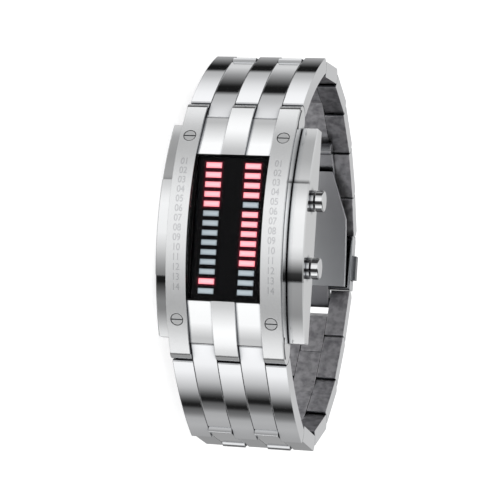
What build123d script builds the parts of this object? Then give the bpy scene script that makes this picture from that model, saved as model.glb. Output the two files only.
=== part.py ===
from build123d import *
from math import asin, cos, hypot, radians, sin, sqrt
import os

os.makedirs("parts", exist_ok=True)

# Wristwatch with a light-emitting display on a folding-clasp link bracelet, lying on its nine o'clock
# side. X runs from twelve o'clock to six o'clock, Y from the display to the wrist, Z from nine o'clock
# to three o'clock, and the origin is the middle of the flat side face that the watch rests on.

# Driving sizes of the head
head_half_width = 12.9
body_half_width = 10.0
rest_face_depth = 8.0
rail_inner = 6.42
rail_side_step = 0.1
rail_thickness = 1.0
rail_end = 21.2
arch_radius = 35.0
arch_crown = -1.3
display_depth = 1.0
display_half_width = 6.11
display_half_length = 12.13
crystal_thickness = 1.0
back_depth = 12.8
case_back_thickness = 1.3
case_back_half_width = 8.6
case_back_half_length = 15.8
case_back_corner = 3.0
wing_end = 18.4
wing_crown = 2.85
wing_end_depth = 8.3
wing_break = 8.3
wing_back_depth = 10.8
wing_raise = 0.25
wing_groove_width = 0.15
wing_groove_depth = 0.7
break_line = 0.16
edge_round = 0.2

# Driving sizes of the bracelet
bar_thickness = 2.8
centre_bar_half = 2.0
column_gap = 0.1
seam_offset = 1.6
hinge_gap = 0.15
pin_radius = 0.6
pin_clearance = 0.04
fixed_pin_radius = 0.5
pin_cap = 0.4
link_length = 10.0
lug_pin_along = 19.9
lug_pin_drop = 2.723
first_direction = 38.4
bar_corner_round = 0.28

# Bracelet halves at rest: the turn and chord of the curved first link, then the turn at each next hinge
first_turn_degrees_12 = 25.0
first_turn_degrees_6 = 21.28
first_chord_12 = 18.68
first_chord_6 = 19.99
rest_turns_12 = [22.6, 24.0, 18.0, 13.0, 10.0]
rest_turns_6 = [20.82, 29.0, 21.0, 17.0, 10.0]
last_length_12 = 8.2
last_length_6 = 10.0
notch_near = 2.0
notch_far = 4.1

# Sizes worked out from the driving ones
middle = head_half_width
lug_pin_depth = lug_pin_drop + arch_crown + arch_radius - sqrt(arch_radius**2 - lug_pin_along**2)
nose_radius = hypot(bar_thickness / 2, seam_offset)
socket_radius = nose_radius + hinge_gap
socket_seam = sqrt(socket_radius**2 - (bar_thickness / 2) ** 2)
inner_bar_low = centre_bar_half + column_gap
inner_bar_high = rail_inner - rail_side_step - column_gap / 2
outer_bar_low = inner_bar_high + column_gap
outer_spans = [
    (-body_half_width, -outer_bar_low),
    (-centre_bar_half, centre_bar_half),
    (outer_bar_low, body_half_width),
]
inner_spans = [(-inner_bar_high, -inner_bar_low), (inner_bar_low, inner_bar_high)]
pin_half_length = body_half_width - pin_cap
cut_overrun = 1.0


def to_y(depth):
    """Y of a place at this depth behind the foremost plane of the display."""
    return depth - rest_face_depth


def arch_y(radius, crown, along):
    """Y of an arch about the head's middle, at a place along the head."""
    return to_y(crown + radius - sqrt(radius**2 - along**2))


def save(block, name):
    """Labels a finished piece and writes it."""
    block.part.label = name
    export_step(block.part, "parts/" + name + ".step")


def side_plane(x, y, across, side, direction):
    """Plane across the watch at a pin, with its x axis along a link that leads away from the head."""
    angle = radians(direction)
    return Plane(
        origin=(side * x, y, middle + across),
        x_dir=(side * cos(angle), sin(angle), 0),
        z_dir=(0, 0, 1),
    )


# Bracelet routes: each link's start pin, direction, chord and turn, and the pin at the far end
def route(first_chord, first_turn, rest_turns, last_length):
    """Links of one bracelet half as (x, y, direction, chord, turn), then the end pin's place."""
    chords = [first_chord] + [link_length] * (len(rest_turns) - 1) + [last_length]
    turns = [first_turn] + [0.0] * len(rest_turns)
    x = lug_pin_along
    y = to_y(lug_pin_depth)
    direction = first_direction
    links = []
    for index, (chord, turn) in enumerate(zip(chords, turns)):
        links.append((x, y, direction, chord, turn))
        x += chord * cos(radians(direction + turn / 2))
        y += chord * sin(radians(direction + turn / 2))
        direction += turn
        if index < len(rest_turns):
            direction += rest_turns[index]
    return links, (x, y, direction)


routes = {
    "12": (-1, route(first_chord_12, first_turn_degrees_12, rest_turns_12, last_length_12)),
    "6": (1, route(first_chord_6, first_turn_degrees_6, rest_turns_6, last_length_6)),
}


# Links: three outer bars and two inner bars on one fixed pin, with rounded noses in hollow sockets.
# The pins are pressed in and their ends ground flush, so the outer bars' side faces are plain.
def bar_outline(chord, turn, side, start_out, end_out):
    """Face of one bar in its link's plane; a start or end that is out is a nose past its pin."""
    half = bar_thickness / 2
    start_seam, start_bulge = (-seam_offset, -nose_radius) if start_out else (socket_seam, socket_radius)
    end_seam, end_bulge = (seam_offset, nose_radius) if end_out else (-socket_seam, -socket_radius)
    angle = radians(turn)
    bend = chord / (2 * sin(angle / 2)) if turn else 0
    end_x = bend * sin(angle) if turn else chord
    end_y = bend * (1 - cos(angle)) if turn else 0

    def at_end(along, inward):
        x = end_x + along * cos(angle) - inward * sin(angle)
        y = end_y + along * sin(angle) + inward * cos(angle)
        return (x, side * y)

    def at_middle(inward):
        x = (bend - inward) * sin(angle / 2)
        y = bend - (bend - inward) * cos(angle / 2)
        return (x, side * y)

    with BuildLine() as outline:
        ThreePointArc((start_seam, -side * half), (start_bulge, 0), (start_seam, side * half))
        if turn:
            ThreePointArc((start_seam, side * half), at_middle(half), at_end(end_seam, half))
            ThreePointArc(at_end(end_seam, -half), at_middle(-half), (start_seam, -side * half))
        else:
            Line((start_seam, side * half), at_end(end_seam, half))
            Line(at_end(end_seam, -half), (start_seam, -side * half))
        ThreePointArc(at_end(end_seam, half), at_end(end_bulge, 0), at_end(end_seam, -half))
    face = make_face(outline.edges())
    fillet(face.vertices(), bar_corner_round)


def pin_places(x, y, direction, chord, turn, side):
    """Places of a link's start pin, fixed pin and end pin, in row coordinates."""
    heading = radians(direction + turn / 2)
    bow = chord / 2 * sin(radians(turn / 2)) / (1 + cos(radians(turn / 2)))
    places = [(side * x, y)]
    middle_x = x + chord / 2 * cos(heading) + bow * sin(heading)
    middle_y = y + chord / 2 * sin(heading) - bow * cos(heading)
    places.append((side * middle_x, middle_y))
    places.append((side * (x + chord * cos(heading)), y + chord * sin(heading)))
    return places



for half_name, (side, (links, far_end)) in routes.items():
    for number, (x, y, direction, chord, turn) in enumerate(links, start=1):
        places = pin_places(x, y, direction, chord, turn, side)
        is_clasp_end = half_name == "6" and number == len(links)
        with BuildPart() as bars:
            for column, (low, high) in enumerate(outer_spans):
                with BuildSketch(side_plane(x, y, low, side, direction)):
                    bar_outline(chord, turn, side, False, not (is_clasp_end and column == 1))
                extrude(amount=high - low)
            for low, high in inner_spans:
                with BuildSketch(side_plane(x, y, low, side, direction)):
                    bar_outline(chord, turn, side, True, False)
                extrude(amount=high - low)
            radii = [pin_radius, fixed_pin_radius, pin_radius + pin_clearance]
            for place, radius in zip(places, radii):
                with BuildSketch(Plane(origin=(place[0], place[1], middle - pin_half_length))):
                    Circle(radius)
                extrude(amount=2 * pin_half_length, mode=Mode.SUBTRACT)
            if is_clasp_end:
                # Slanted notch that the clasp blade's eye swings out of
                half = bar_thickness / 2
                with BuildSketch(side_plane(*far_end[:2], -inner_bar_high, side, direction)):
                    with BuildLine():
                        Polyline(
                            (-notch_near, -half - cut_overrun),
                            (-notch_near, -half),
                            (-notch_far, half),
                            (-notch_far, half + cut_overrun),
                            (nose_radius, half + cut_overrun),
                            (nose_radius, -half - cut_overrun),
                            close=True,
                        )
                    make_face()
                extrude(amount=2 * inner_bar_high, mode=Mode.SUBTRACT)
        save(bars, f"link_{half_name}_{number}_bars")
        with BuildPart() as pins:
            for place, radius in zip(places[:2], radii[:2]):
                with BuildSketch(Plane(origin=(place[0], place[1], middle - pin_half_length))):
                    Circle(radius)
                extrude(amount=2 * pin_half_length)
        save(pins, f"link_{half_name}_{number}_pins")


# Case body: lugs in the outer and middle columns, flat sloping faces between them, hollow inside
block_start = display_half_length + 0.27
block_start_depth = 1.5
well_half_width = rail_inner
cavity_half_width = 8.9
cavity_half_length = 13.4
cavity_roof = 2.4
rail_seat_radius = arch_radius - rail_thickness
rail_seat_crown = arch_crown + rail_thickness
case_floor = back_depth - case_back_thickness
body_half_length = lug_pin_along - socket_radius
lug_root = 16.0
pin_y = to_y(lug_pin_depth)
socket_heading = radians(first_direction)
block_end = (
    lug_pin_along - socket_seam * cos(socket_heading) + bar_thickness / 2 * sin(socket_heading),
    pin_y - socket_seam * sin(socket_heading) - bar_thickness / 2 * cos(socket_heading),
)
block_mid = (
    lug_pin_along - socket_radius * cos(socket_heading),
    pin_y - socket_radius * sin(socket_heading),
)

pusher_along = 5.7
pusher_depth = 6.4
tube_radius = 1.3
press_y = to_y(pusher_depth)


def disc(x, y, across, radius, height, mode=Mode.ADD):
    """Round piece along the watch's width that starts at a place across it."""
    with BuildSketch(Plane(origin=(x, y, middle + across))) as face:
        Circle(radius)
    extrude(face.sketch, amount=height, mode=mode)


def arched_plate(low, high, start, end, mode=Mode.ADD):
    """Arched plate between two places along the head and two across it."""
    with BuildSketch(Plane.XY.offset(middle + low)) as plate:
        with BuildLine():
            bow = (start + end) / 2
            top = [(place, arch_y(arch_radius, arch_crown, place)) for place in (start, bow, end)]
            under = [(place, arch_y(rail_seat_radius, rail_seat_crown, place)) for place in (start, bow, end)]
            ThreePointArc(*top)
            Line(top[-1], under[-1])
            ThreePointArc(*reversed(under))
            Line(under[0], top[0])
        make_face()
    extrude(plate.sketch, amount=high - low, mode=mode)


with BuildPart() as case_middle:
    for low, high in [(-body_half_width, -well_half_width), (well_half_width, body_half_width)]:
        with BuildSketch(Plane.XY.offset(middle + low)):
            with BuildLine():
                end_y = arch_y(rail_seat_radius, rail_seat_crown, body_half_length)
                ThreePointArc((-body_half_length, end_y), (0, to_y(rail_seat_crown)), (body_half_length, end_y))
                Line((body_half_length, end_y), (body_half_length, to_y(case_floor)))
                Line((body_half_length, to_y(case_floor)), (-body_half_length, to_y(case_floor)))
                Line((-body_half_length, to_y(case_floor)), (-body_half_length, end_y))
            make_face()
        extrude(amount=high - low)
    for side in (-1, 1):
        # Sloping blocks beside the middle column, with sockets for the inner bars
        for low, high in [(-well_half_width, -centre_bar_half), (centre_bar_half, well_half_width)]:
            with BuildSketch(Plane.XY.offset(middle + low)):
                with BuildLine():
                    Polyline(
                        (side * body_half_length, pin_y),
                        (side * body_half_length, to_y(case_floor)),
                        (side * block_start, to_y(case_floor)),
                        (side * block_start, to_y(block_start_depth)),
                        (side * block_end[0], block_end[1]),
                    )
                    ThreePointArc(
                        (side * block_end[0], block_end[1]),
                        (side * block_mid[0], block_mid[1]),
                        (side * body_half_length, pin_y),
                    )
                make_face()
            extrude(amount=high - low)
        # Lugs of the outer and middle columns, round the pin and cut to the arch that the plates lie on
        for low, high in outer_spans:
            disc(side * lug_pin_along, pin_y, low, nose_radius, high - low)
            with BuildSketch(Plane.XY.offset(middle + low)):
                with Locations((side * (lug_root + lug_pin_along) / 2, pin_y)):
                    Rectangle(lug_pin_along - lug_root, 2 * nose_radius)
            extrude(amount=high - low)
        lug_bore = pin_radius + pin_clearance
        disc(side * lug_pin_along, pin_y, -pin_half_length, lug_bore, 2 * pin_half_length, Mode.SUBTRACT)
        # Middle column under its bar, down to the floor
        with BuildSketch(Plane.XY.offset(middle - centre_bar_half)):
            with BuildLine():
                start_y = arch_y(rail_seat_radius, rail_seat_crown, block_start)
                root_y = arch_y(rail_seat_radius, rail_seat_crown, lug_root)
                bow = (block_start + lug_root) / 2
                Line((side * block_start, to_y(case_floor)), (side * block_start, start_y))
                ThreePointArc(
                    (side * block_start, start_y),
                    (side * bow, arch_y(rail_seat_radius, rail_seat_crown, bow)),
                    (side * lug_root, root_y),
                )
                Line((side * lug_root, root_y), (side * lug_root, to_y(case_floor)))
                Line((side * lug_root, to_y(case_floor)), (side * block_start, to_y(case_floor)))
            make_face()
        extrude(amount=2 * centre_bar_half)
    for low, high in outer_spans:
        arched_plate(low, high, -rail_end, rail_end, Mode.SUBTRACT)
    with BuildSketch(Plane.XZ.offset(-to_y(cavity_roof))):
        with Locations((0, middle)):
            Rectangle(2 * cavity_half_length, 2 * cavity_half_width)
    extrude(amount=-(case_floor - cavity_roof), mode=Mode.SUBTRACT)
    with BuildSketch(Plane.XZ.offset(-to_y(arch_crown))):
        with Locations((0, middle)):
            Rectangle(2 * block_start, 2 * well_half_width)
    extrude(amount=-(cavity_roof - arch_crown), mode=Mode.SUBTRACT)
    for side in (-1, 1):
        disc(side * pusher_along, press_y, 0, tube_radius, body_half_width, Mode.SUBTRACT)
save(case_middle, "case_middle")


# Rails and middle bars: thin arched plates on the case body, with a screw near each end of a rail
screw_along = 15.69
screw_head_radius = 0.98
screw_recess_radius = 1.12
screw_recess_depth = 0.45
screw_head_height = 0.4
screw_shank_radius = 0.55
screw_slot_width = 0.24
screw_slot_depth = 0.22
rail_outer = body_half_width - rail_side_step
screw_across = (rail_inner + rail_outer) / 2
screw_tilt = asin(screw_along / arch_radius)
screw_y = arch_y(arch_radius, arch_crown, screw_along)


def screw_plane(side, across, height):
    """Plane square to a rail at a screw, its z axis out of the watch."""
    normal = (side * sin(screw_tilt), -cos(screw_tilt), 0)
    origin = (side * screw_along + height * normal[0], screw_y + height * normal[1], middle + across)
    return Plane(origin=origin, x_dir=(0, 0, 1), z_dir=normal)


for name, facing in (("rail_left", -1), ("rail_right", 1)):
    low, high = sorted((facing * rail_inner, facing * rail_outer))
    with BuildPart() as rail:
        arched_plate(low, high, -rail_end, rail_end)
        for side in (-1, 1):
            with BuildSketch(screw_plane(side, facing * screw_across, cut_overrun)):
                Circle(screw_recess_radius)
            extrude(amount=-(cut_overrun + screw_recess_depth), mode=Mode.SUBTRACT)
            with BuildSketch(screw_plane(side, facing * screw_across, cut_overrun)):
                Circle(screw_shank_radius)
            extrude(amount=-(2 * cut_overrun + rail_thickness), mode=Mode.SUBTRACT)
    save(rail, name)

with BuildPart() as rail_screws:
    for side in (-1, 1):
        for facing in (-1, 1):
            head_base = -screw_recess_depth
            with BuildSketch(screw_plane(side, facing * screw_across, head_base)):
                Circle(screw_head_radius)
            extrude(amount=screw_head_height)
            with BuildSketch(screw_plane(side, facing * screw_across, head_base)):
                Circle(screw_shank_radius)
            extrude(amount=-(rail_thickness - screw_recess_depth))
            with BuildSketch(screw_plane(side, facing * screw_across, head_base + screw_head_height)):
                Rectangle(2 * screw_head_radius, screw_slot_width)
            extrude(amount=-screw_slot_depth, mode=Mode.SUBTRACT)
save(rail_screws, "rail_screws")

for name, side in (("centre_bar_12", -1), ("centre_bar_6", 1)):
    with BuildPart() as bar:
        arched_plate(-centre_bar_half, centre_bar_half, side * block_start, side * rail_end)
    save(bar, name)

# Wings: thick side plates, a little raised between two fine cross lines, with a groove beside the body
wing_radius = (wing_end**2 + (wing_end_depth - wing_crown) ** 2) / (2 * (wing_end_depth - wing_crown))


def wing_outline():
    """Side face of a wing, with the raised middle between its two breaks."""
    with BuildLine() as outline:
        end_y = arch_y(wing_radius, wing_crown, wing_end)
        break_y = arch_y(wing_radius, wing_crown, wing_break)
        bow = (wing_break + wing_end) / 2
        bow_y = arch_y(wing_radius, wing_crown, bow)
        Line((-wing_end, to_y(wing_back_depth)), (-wing_end, end_y))
        ThreePointArc((-wing_end, end_y), (-bow, bow_y), (-wing_break, break_y))
        Line((-wing_break, break_y), (-wing_break, break_y - wing_raise))
        ThreePointArc(
            (-wing_break, break_y - wing_raise),
            (0, to_y(wing_crown) - wing_raise),
            (wing_break, break_y - wing_raise),
        )
        Line((wing_break, break_y - wing_raise), (wing_break, break_y))
        ThreePointArc((wing_break, break_y), (bow, bow_y), (wing_end, end_y))
        Line((wing_end, end_y), (wing_end, to_y(wing_back_depth)))
        Line((wing_end, to_y(wing_back_depth)), (-wing_end, to_y(wing_back_depth)))
    make_face(outline.edges())


for name, facing in (("wing_left", -1), ("wing_right", 1)):
    low, high = sorted((facing * body_half_width, facing * head_half_width))
    with BuildPart() as wing:
        with BuildSketch(Plane.XY.offset(middle + low)):
            wing_outline()
        extrude(amount=high - low)
        outer_edges = wing.edges().filter_by(Plane.XY).group_by(Axis.Z)[0 if facing < 0 else -1]
        chamfer(outer_edges, edge_round)
        inner = facing * (body_half_width + wing_groove_width)
        groove_low, groove_high = sorted((facing * body_half_width, inner))
        with BuildSketch(Plane.XY.offset(middle + groove_low)):
            with BuildLine() as strip:
                floor = wing_crown + wing_groove_depth
                ends = [-wing_end, 0, wing_end]
                floor_arc = [(place, arch_y(wing_radius, floor, place)) for place in ends]
                ThreePointArc(*floor_arc)
                Line(floor_arc[-1], (wing_end, to_y(arch_crown)))
                Line((wing_end, to_y(arch_crown)), (-wing_end, to_y(arch_crown)))
                Line((-wing_end, to_y(arch_crown)), floor_arc[0])
            make_face()
        extrude(amount=groove_high - groove_low, mode=Mode.SUBTRACT)
        if facing > 0:
            for side in (-1, 1):
                with BuildSketch(Plane(origin=(side * pusher_along, to_y(pusher_depth), middle + low))):
                    Circle(tube_radius)
                extrude(amount=high - low, mode=Mode.SUBTRACT)
    save(wing, name)

# Push-buttons: a fixed tube with an outer collar, a capped stem in it, a spring and a retaining clip
pusher_radius = 1.85
collar_height = 0.55
neck_gap = 0.35
cap_height = 1.0
cap_dome = 0.25
neck_radius = 0.95
pusher_bore_gap = 0.05
neck_reach = 0.35
stem_radius = 0.6
spring_gap = 0.05
spring_seat = 10.5
clip_radius = 1.1
clip_height = 0.4
clip_gap = 0.1
collar_top = head_half_width + collar_height
cap_base = collar_top + neck_gap
neck_end = head_half_width + collar_height - neck_reach
clip_top = cavity_half_width - clip_gap


with BuildPart() as pusher_tubes:
    for side in (-1, 1):
        x = side * pusher_along
        disc(x, press_y, cavity_half_width, tube_radius, head_half_width - cavity_half_width)
        disc(x, press_y, head_half_width, pusher_radius, collar_height)
        disc(x, press_y, spring_seat, neck_radius + pusher_bore_gap, collar_top - spring_seat, Mode.SUBTRACT)
        disc(x, press_y, 0, stem_radius + pusher_bore_gap, spring_seat, Mode.SUBTRACT)
save(pusher_tubes, "pusher_tubes")

for name, side in (("upper", -1), ("lower", 1)):
    x = side * pusher_along
    with BuildPart() as pusher:
        disc(x, press_y, clip_top - clip_height, stem_radius, cap_base - clip_top + clip_height)
        disc(x, press_y, clip_top - clip_height, clip_radius, clip_height)
        disc(x, press_y, neck_end, neck_radius, cap_base - neck_end)
        disc(x, press_y, cap_base, pusher_radius, cap_height + cap_dome)
        fillet(pusher.edges().group_by(Axis.Z)[-1], cap_dome)
    save(pusher, f"pusher_{name}")
    with BuildPart() as spring:
        disc(x, press_y, spring_seat, neck_radius, neck_end - spring_seat)
        disc(x, press_y, spring_seat, stem_radius + spring_gap, neck_end - spring_seat, Mode.SUBTRACT)
    save(spring, f"pusher_spring_{name}")

# Display: a crystal in its gasket over a black mask, whose windows hold two columns of light bars
gasket_drop = 0.3
mask_gap = 0.05
mask_thickness = 0.9
led_rows = 14
led_pitch = 1.642
led_across = 3.4
led_width = 2.7
led_height = 0.92
led_gap = 0.04
board_gap = 0.05
board_thickness = 0.8
board_half_width = 7.6
board_end_gap = 0.8
board_half_length = cavity_half_length - board_end_gap
lit_left = [1, 2, 3, 4, 5, 13]
lit_right = [1, 2, 3, 4, 6, 7, 8, 9, 10, 11]
crystal_under = display_depth + crystal_thickness
mask_top = crystal_under + mask_gap
mask_under = mask_top + mask_thickness
board_top = mask_under + board_gap
board_under = board_top + board_thickness


def slab(half_length, half_width, top, under, x=0.0, across=0.0, mode=Mode.ADD):
    """Flat rectangular piece between two depths."""
    with BuildSketch(Plane(origin=(x, to_y(under), middle + across), x_dir=(1, 0, 0), z_dir=(0, -1, 0))) as face:
        Rectangle(2 * half_length, 2 * half_width)
    extrude(face.sketch, amount=under - top, mode=mode)


def led_x(row):
    """X of a display row, the first at twelve o'clock."""
    return (row - (led_rows + 1) / 2) * led_pitch


with BuildPart() as crystal:
    slab(display_half_length, display_half_width, display_depth, crystal_under)
save(crystal, "crystal")

with BuildPart() as crystal_gasket:
    slab(block_start, well_half_width, display_depth + gasket_drop, crystal_under)
    slab(display_half_length, display_half_width, display_depth, crystal_under, mode=Mode.SUBTRACT)
save(crystal_gasket, "crystal_gasket")

with BuildPart() as display_mask:
    slab(block_start, well_half_width, mask_top, cavity_roof)
    slab(display_half_length, well_half_width, cavity_roof, mask_under)
    for row in range(1, led_rows + 1):
        for side in (-1, 1):
            slab(
                led_height / 2 + led_gap,
                led_width / 2 + led_gap,
                mask_top,
                mask_under,
                led_x(row),
                side * led_across,
                Mode.SUBTRACT,
            )
save(display_mask, "display_mask")

for name, is_lit in (("leds_lit", True), ("leds_unlit", False)):
    with BuildPart() as leds:
        for side, lit_rows in ((-1, lit_left), (1, lit_right)):
            for row in range(1, led_rows + 1):
                if (row in lit_rows) == is_lit:
                    slab(led_height / 2, led_width / 2, mask_top, board_top, led_x(row), side * led_across)
    save(leds, name)

# Movement: board, driver chip, timing crystal, battery in its holder and contact clip
chip_half = 2.5
chip_height = 0.9
chip_x = -8.0
can_radius = 0.65
can_length = 5.0
can_x = 9.0
cell_radius = 8.0
cell_thickness = 2.0
holder_top = board_under
holder_wall = 0.6
cell_gap = 0.15
clip_thickness = 0.3
clip_half_width = 2.0
holder_gap = 0.2
holder_half_length = cavity_half_length - holder_gap
chip_space = 1.4
cell_top = board_under + chip_space
cell_under = cell_top + cell_thickness
clip_under = cell_under + clip_thickness

with BuildPart() as circuit_board:
    slab(board_half_length, board_half_width, board_top, board_under)
save(circuit_board, "circuit_board")

with BuildPart() as board_chips:
    slab(chip_half, chip_half, board_under, board_under + chip_height, chip_x)
    with BuildSketch(Plane(origin=(can_x, to_y(board_under + can_radius), middle - can_length / 2))):
        Circle(can_radius)
    extrude(amount=can_length)
save(board_chips, "board_chips")

with BuildPart() as movement_holder:
    slab(holder_half_length, cell_radius + holder_wall, holder_top, case_floor)
    slab(board_half_length, board_half_width, holder_top, cell_top, mode=Mode.SUBTRACT)
    with BuildSketch(Plane(origin=(0, to_y(case_floor), middle), x_dir=(1, 0, 0), z_dir=(0, -1, 0))):
        Circle(cell_radius + cell_gap)
    extrude(amount=case_floor - holder_top, mode=Mode.SUBTRACT)
    slab(
        holder_half_length - holder_wall + cell_gap,
        clip_half_width + cell_gap,
        cell_under,
        case_floor,
        mode=Mode.SUBTRACT,
    )
    for side in (-1, 1):
        slab(
            clip_radius + cell_gap,
            clip_radius + chip_space,
            holder_top,
            case_floor,
            side * pusher_along,
            cell_radius,
            Mode.SUBTRACT,
        )
save(movement_holder, "movement_holder")

with BuildPart() as coin_cell:
    with BuildSketch(Plane(origin=(0, to_y(cell_under), middle), x_dir=(1, 0, 0), z_dir=(0, -1, 0))):
        Circle(cell_radius)
    extrude(amount=cell_thickness)
save(coin_cell, "coin_cell")

with BuildPart() as battery_clip:
    slab(holder_half_length - holder_wall, clip_half_width, cell_under, clip_under)
save(battery_clip, "battery_clip")

# Case back with its four screws
back_screw_x = 14.2
back_screw_across = 7.0

with BuildPart() as case_back:
    slab(case_back_half_length, case_back_half_width, case_floor, back_depth)
    fillet(case_back.edges().filter_by(Axis.Y), case_back_corner)
    for side in (-1, 1):
        for facing in (-1, 1):
            place = (side * back_screw_x, to_y(case_floor), middle + facing * back_screw_across)
            with BuildSketch(Plane(origin=place, x_dir=(1, 0, 0), z_dir=(0, 1, 0))):
                Circle(screw_shank_radius)
            extrude(amount=case_back_thickness, mode=Mode.SUBTRACT)
            head_top = (place[0], to_y(back_depth - screw_recess_depth), place[2])
            with BuildSketch(Plane(origin=head_top, x_dir=(1, 0, 0), z_dir=(0, 1, 0))):
                Circle(screw_recess_radius)
            extrude(amount=screw_recess_depth, mode=Mode.SUBTRACT)
save(case_back, "case_back")

with BuildPart() as case_back_screws:
    for side in (-1, 1):
        for facing in (-1, 1):
            place = (side * back_screw_x, to_y(case_floor), middle + facing * back_screw_across)
            with BuildSketch(Plane(origin=place, x_dir=(1, 0, 0), z_dir=(0, 1, 0))):
                Circle(screw_shank_radius)
            extrude(amount=case_back_thickness - screw_recess_depth)
            head = (place[0], to_y(back_depth - screw_recess_depth), place[2])
            with BuildSketch(Plane(origin=head, x_dir=(1, 0, 0), z_dir=(0, 1, 0))):
                Circle(screw_head_radius)
            extrude(amount=screw_head_height)
            slot = (place[0], head[1] + screw_head_height, place[2])
            with BuildSketch(Plane(origin=slot, x_dir=(1, 0, 0), z_dir=(0, 1, 0))):
                Rectangle(2 * screw_head_radius, screw_slot_width)
            extrude(amount=-screw_slot_depth, mode=Mode.SUBTRACT)
save(case_back_screws, "case_back_screws")


# Clasp: a cover on the twelve o'clock half, its folding arm, and a blade hinged at the arm's far end
cover_out = 1.7
cover_in = 1.5
cover_length = 12.75
cover_slab_start = 2.6
cover_groove = 0.3
cover_groove_depth = 0.35
cover_round = 0.4
button_middle = 0.5
button_length = 4.7
button_height = 1.8
button_slide_gap = 0.1
button_shoulder = 0.3
button_lip = 0.8
button_reach = 0.8
button_inner = 6.2
pocket_end = 4.2
post_slot_half = 3.6
post_slot_length = 2.6
post_half_length = 1.0
post_half_width = 0.8
cover_skin = 1.05
jaw_offset = 1.7
jaw_half = 0.4
jaw_end = 1.3
button_spring_radius = 0.6
arm_thickness = 0.8
arm_middle = (13.5, 53.75)
arm_end = (5.0, 57.78)
arm_half_width = 7.0
arm_finger_low = 2.3
blade_thickness = 0.9
blade_middle = (12.0, 52.6)
blade_end = (-4.4, 56.5)
blade_start_along = 17.0
blade_half_width = 9.3
blade_top_half_width = 6.9
blade_taper_along = 8.5
blade_finger = 2.2
knuckle = (21.0, 47.2)
knuckle_radius = 1.1
knuckle_pin_radius = 0.5
eye_radius = 1.3
eye_half_width = 6.1
spring_bar_radius = 0.65
spring_bar_tip = 0.15
arm_pad = 2.6

_, (clasp_x, clasp_y, _) = routes["12"][1]
_, (eye_x, eye_y, _) = routes["6"][1]
knuckle_place = (-knuckle[0], to_y(knuckle[1]))
cover_end_x = cover_length - clasp_x
cover_under = clasp_y - cover_in
cover_over = clasp_y + cover_out
button_y = (cover_under + cover_over) / 2
post_top = cover_over - cover_skin


def band(start, bow, end, thickness, low, high):
    """Curved strip about three places given as (along, depth), between two places across."""
    points = [(-place[0], to_y(place[1])) for place in (start, bow, end)]
    centre = ThreePointArc(*points, mode=Mode.PRIVATE)
    middle_point = centre.arc_center
    radius = centre.radius
    with BuildSketch(Plane.XY.offset(middle + low)) as face:
        with BuildLine() as outline:
            curves = []
            for shift in (-thickness / 2, thickness / 2):
                moved = []
                for point in points:
                    away = Vector(*point) - middle_point
                    moved.append(middle_point + away * ((radius + shift) / radius))
                curves.append(moved)
                ThreePointArc(*moved)
            Line(curves[0][0], curves[1][0])
            Line(curves[0][-1], curves[1][-1])
        make_face(outline.edges())
    extrude(face.sketch, amount=high - low)


with BuildPart() as clasp_cover:
    for spans, is_out in ((outer_spans, False), (inner_spans, True)):
        for low, high in spans:
            with BuildSketch(side_plane(clasp_x, clasp_y, low, -1, 180.0)):
                bar_outline(2 * cover_slab_start, 0.0, -1, is_out, False)
            extrude(amount=high - low)
    with BuildSketch(Plane.XY.offset(middle - body_half_width)):
        with Locations(((cover_end_x + cover_slab_start - clasp_x) / 2, button_y)):
            RectangleRounded(
                cover_end_x + clasp_x - cover_slab_start, cover_over - cover_under, cover_round
            )
    extrude(amount=2 * body_half_width)
    disc(-clasp_x, clasp_y, -pin_half_length, pin_radius, 2 * pin_half_length, Mode.SUBTRACT)
    for across in (-outer_bar_low, -centre_bar_half, centre_bar_half, outer_bar_low):
        with BuildSketch(Plane.XY.offset(middle + across - cover_groove / 2)):
            with Locations(((cover_end_x - clasp_x) / 2, cover_over)):
                Rectangle(2 * cover_end_x + 2 * clasp_x, 2 * cover_groove_depth)
        extrude(amount=cover_groove, mode=Mode.SUBTRACT)
    # Button pockets, post slot and jaw windows
    for facing in (-1, 1):
        spans = [
            (pocket_end, body_half_width - button_lip, button_shoulder),
            (body_half_width - button_lip, body_half_width, 0.0),
        ]
        for low, high, shoulder in spans:
            low, high = sorted((facing * low, facing * high))
            with BuildSketch(Plane.XY.offset(middle + low)):
                with Locations((button_middle, button_y)):
                    Rectangle(
                        button_length + 2 * (shoulder + button_slide_gap),
                        button_height + 2 * button_slide_gap,
                    )
            extrude(amount=high - low, mode=Mode.SUBTRACT)
        low, high = sorted((facing * post_slot_half, facing * pocket_end))
        with BuildSketch(Plane.XY.offset(middle + low)):
            with Locations((button_middle + facing * jaw_offset, button_y)):
                Rectangle(2 * (jaw_half + button_slide_gap), 2 * (jaw_half + button_slide_gap))
        extrude(amount=high - low, mode=Mode.SUBTRACT)
    with BuildSketch(Plane.XY.offset(middle - post_slot_half)):
        with Locations((button_middle, (cover_under + post_top) / 2)):
            Rectangle(2 * post_slot_length, post_top - cover_under + 2 * button_slide_gap)
    extrude(amount=2 * post_slot_half, mode=Mode.SUBTRACT)
save(clasp_cover, "clasp_cover")

with BuildPart() as clasp_cover_pin:
    disc(-clasp_x, clasp_y, -pin_half_length, pin_radius, 2 * pin_half_length)
save(clasp_cover_pin, "clasp_cover_pin")

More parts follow.
